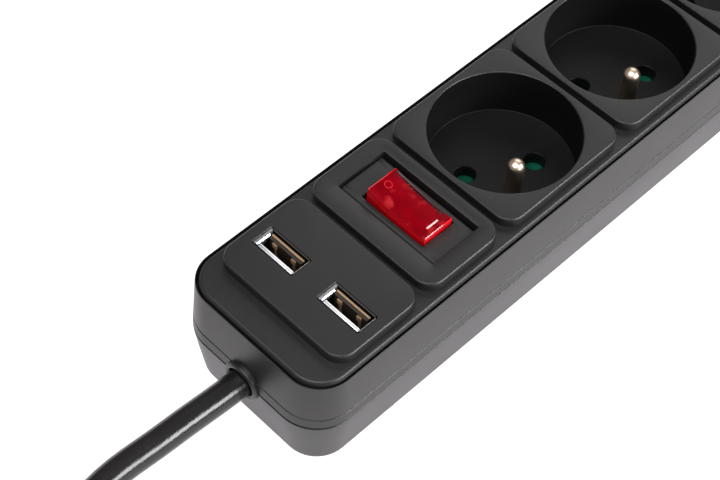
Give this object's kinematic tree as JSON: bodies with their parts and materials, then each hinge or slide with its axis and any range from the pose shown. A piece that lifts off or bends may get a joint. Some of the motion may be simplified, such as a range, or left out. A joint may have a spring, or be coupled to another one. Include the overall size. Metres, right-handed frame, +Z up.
{
  "type": "power strip",
  "caption": "Black power strip with earthed round sockets, green shutters, a lit red rocker switch, USB ports and a tied cord with its plug.",
  "frame": {"origin": "centre of the casing's underside, on the floor", "axes": "+X along the strip away from the cord, +Y across it with the sockets' earth pins on the -Y side, +Z up"},
  "size_m": [0.5918, 0.0645, 0.0409],
  "materials": {
    "casing_black": "satin",
    "well_black": "matte",
    "cord_black": "gloss",
    "nickel": "polished",
    "steel": "satin",
    "brass": "satin",
    "shutter_green": "satin",
    "rocker_red": "gloss",
    "lamp_glass": "gloss",
    "board_green": "satin",
    "tongue_cream": "satin",
    "transformer_brown": "satin",
    "wire_brown": "satin",
    "wire_blue": "satin",
    "wire_green_yellow": "satin"
  },
  "bodies": {
    "casing": {"lower_tray": "casing_black", "upper_frame": "casing_black", "top_cover": "casing_black", "cord_clamp": "casing_black", "clamp_screw_1": "steel", "clamp_screw_2": "steel", "case_screw_1": "steel", "case_screw_2": "steel", "case_screw_3": "steel", "case_screw_4": "steel", "case_screw_5": "steel", "case_screw_6": "steel", "socket_cup_1": "well_black", "earth_pin_1": "nickel", "shutter_spring_1": "steel", "socket_cup_2": "well_black", "earth_pin_2": "nickel", "shutter_spring_2": "steel", "socket_cup_3": "well_black", "earth_pin_3": "nickel", "shutter_spring_3": "steel", "socket_cup_4": "well_black", "earth_pin_4": "nickel", "shutter_spring_4": "steel", "socket_cup_5": "well_black", "earth_pin_5": "nickel", "shutter_spring_5": "steel", "live_busbar": "brass", "neutral_busbar": "brass", "earth_busbar": "brass", "switch_housing": "casing_black", "rocker_pin": "steel", "switch_lamp": "lamp_glass", "switch_terminal_1": "brass", "switch_terminal_2": "brass", "switch_terminal_3": "brass", "usb_board": "board_green", "usb_shell_1": "steel", "usb_tongue_1": "tongue_cream", "usb_shell_2": "steel", "usb_tongue_2": "tongue_cream", "usb_transformer": "transformer_brown", "usb_capacitor": "cord_black", "wire_live": "wire_brown", "wire_neutral": "wire_blue", "wire_earth": "wire_green_yellow", "mains_cord": "cord_black", "cord_hank": "cord_black", "cord_tie": "cord_black", "plug_lead": "cord_black", "plug_relief": "cord_black", "plug_body": "casing_black", "plug_pin_1": "nickel", "plug_pin_2": "nickel"},
    "rocker": {"rocker": "rocker_red"},
    "shutter_1": {"shutter_1": "shutter_green"},
    "shutter_2": {"shutter_2": "shutter_green"},
    "shutter_3": {"shutter_3": "shutter_green"},
    "shutter_4": {"shutter_4": "shutter_green"},
    "shutter_5": {"shutter_5": "shutter_green"}
  },
  "joints": [
    {"name": "rocker_tilt", "type": "hinge", "parent": "casing", "child": "rocker", "pos_m": [-0.0963, 0, 0.033], "axis": [1, 0, 0], "range_deg": [-12, 0], "stiffness_Nm_per_rad": 0.02},
    {"name": "shutter_1_slide", "type": "slide", "parent": "casing", "child": "shutter_1", "axis": [0.5, 0.866, 0], "range_m": [0, 0.007], "stiffness_N_per_m": 60, "deforming": ["shutter_spring_1"]},
    {"name": "shutter_2_slide", "type": "slide", "parent": "casing", "child": "shutter_2", "axis": [0.5, 0.866, 0], "range_m": [0, 0.007], "stiffness_N_per_m": 60, "deforming": ["shutter_spring_2"]},
    {"name": "shutter_3_slide", "type": "slide", "parent": "casing", "child": "shutter_3", "axis": [0.5, 0.866, 0], "range_m": [0, 0.007], "stiffness_N_per_m": 60, "deforming": ["shutter_spring_3"]},
    {"name": "shutter_4_slide", "type": "slide", "parent": "casing", "child": "shutter_4", "axis": [0.5, 0.866, 0], "range_m": [0, 0.007], "stiffness_N_per_m": 60, "deforming": ["shutter_spring_4"]},
    {"name": "shutter_5_slide", "type": "slide", "parent": "casing", "child": "shutter_5", "axis": [0.5, 0.866, 0], "range_m": [0, 0.007], "stiffness_N_per_m": 60, "deforming": ["shutter_spring_5"]}
  ]
}
